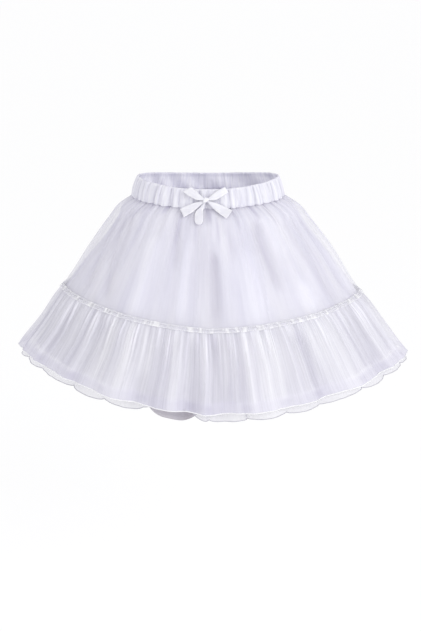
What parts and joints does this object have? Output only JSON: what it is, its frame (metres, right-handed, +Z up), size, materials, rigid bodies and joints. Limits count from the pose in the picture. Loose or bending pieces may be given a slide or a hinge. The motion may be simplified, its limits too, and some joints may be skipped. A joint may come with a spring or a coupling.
{
  "type": "tulle skirt",
  "caption": "White two-tier tulle petticoat skirt, filled out as worn, with a gathered elastic waistband, a ribbon bow, an opaque lining and a gathered ruffle.",
  "frame": {"origin": "middle of the waist, level with the middle of the waistband's height at the centre front", "axes": "+Z up towards the waistband, +X to the side that is on the right when the front is looked at, the front with the bow faces -Y"},
  "size_m": [0.5544, 0.4464, 0.2798],
  "materials": {
    "band_cotton": "matte cotton poplin, gathered over elastic",
    "tulle": "sheer soft tulle net, faint sheen",
    "under_tulle": "sheer soft tulle net, faint sheen",
    "lining": "opaque matte cotton",
    "satin_tape": "narrow satin tape",
    "satin_ribbon": "satin ribbon, soft sheen"
  },
  "bodies": {
    "root": {"waistband_front": "band_cotton", "waistband_back": "band_cotton", "upper_tulle_front": "tulle", "upper_tulle_back": "tulle", "tier_tape_front": "satin_tape", "tier_tape_back": "satin_tape", "ruffle_front": "tulle", "ruffle_back": "tulle", "under_ruffle_front": "under_tulle", "under_ruffle_back": "under_tulle", "lining_front": "lining", "lining_back": "lining", "bow_knot": "satin_ribbon", "bow_loop_left": "satin_ribbon", "bow_loop_right": "satin_ribbon", "bow_tail_left": "satin_ribbon", "bow_tail_right": "satin_ribbon", "bow_drop": "satin_ribbon"}
  },
  "joints": []
}
